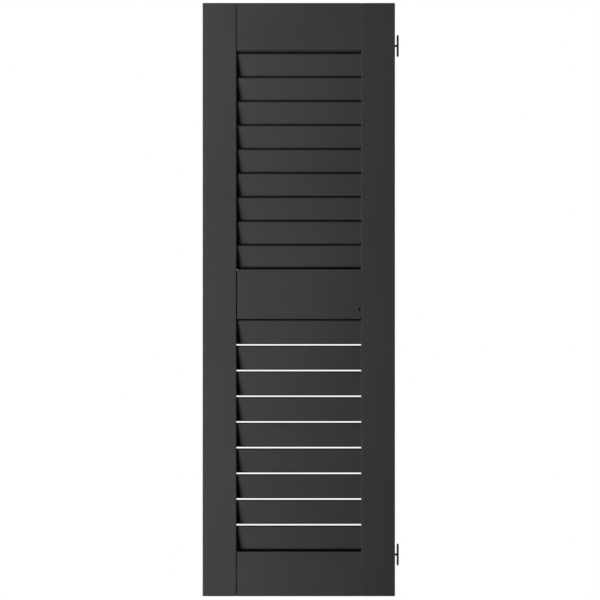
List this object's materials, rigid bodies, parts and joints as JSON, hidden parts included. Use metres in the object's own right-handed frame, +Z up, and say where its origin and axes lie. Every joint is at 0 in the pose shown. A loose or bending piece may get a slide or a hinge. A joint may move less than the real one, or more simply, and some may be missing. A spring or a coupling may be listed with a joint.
{
  "type": "louvred shutter leaf",
  "caption": "Tall narrow louvred shutter leaf in dark grey painted timber: fixed sloping slats in two openings between stiles and rails, hung on two butt hinges.",
  "frame": {"origin": "middle of the two screws of the lower hinge's jamb plate, on the face that lies against the jamb", "axes": "+Z up along the leaf's height, +Y towards the back through the leaf's thickness, +X from the leaf towards the jamb; the front, room side faces -Y"},
  "size_m": [0.4466, 0.038, 1.35],
  "materials": {
    "frame_paint": "anthracite satin paint on timber",
    "slat_paint": "anthracite satin paint on timber",
    "dowel_wood": "bare beech",
    "hinge_steel": "black satin coated steel"
  },
  "bodies": {
    "jamb_side": {"upper_jamb_plate": "hinge_steel", "upper_pin": "hinge_steel", "lower_jamb_plate": "hinge_steel", "lower_pin": "hinge_steel"},
    "leaf": {"left_stile": "frame_paint", "right_stile": "frame_paint", "top_rail": "frame_paint", "middle_rail": "frame_paint", "bottom_rail": "frame_paint", "upper_slat_1": "slat_paint", "upper_slat_2": "slat_paint", "upper_slat_3": "slat_paint", "upper_slat_4": "slat_paint", "upper_slat_5": "slat_paint", "upper_slat_6": "slat_paint", "upper_slat_7": "slat_paint", "upper_slat_8": "slat_paint", "upper_slat_9": "slat_paint", "lower_slat_1": "slat_paint", "lower_slat_2": "slat_paint", "lower_slat_3": "slat_paint", "lower_slat_4": "slat_paint", "lower_slat_5": "slat_paint", "lower_slat_6": "slat_paint", "lower_slat_7": "slat_paint", "lower_slat_8": "slat_paint", "lower_slat_9": "slat_paint", "top_rail_dowels": "dowel_wood", "middle_rail_dowels": "dowel_wood", "bottom_rail_dowels": "dowel_wood", "upper_leaf_plate": "hinge_steel", "upper_screws": "hinge_steel", "lower_leaf_plate": "hinge_steel", "lower_screws": "hinge_steel"}
  },
  "joints": [
    {"name": "leaf_swing", "type": "hinge", "parent": "jamb_side", "child": "leaf", "pos_m": [-0.0025, -0.0185, 0], "axis": [0, 0, 1], "range_deg": [0, 180]}
  ]
}
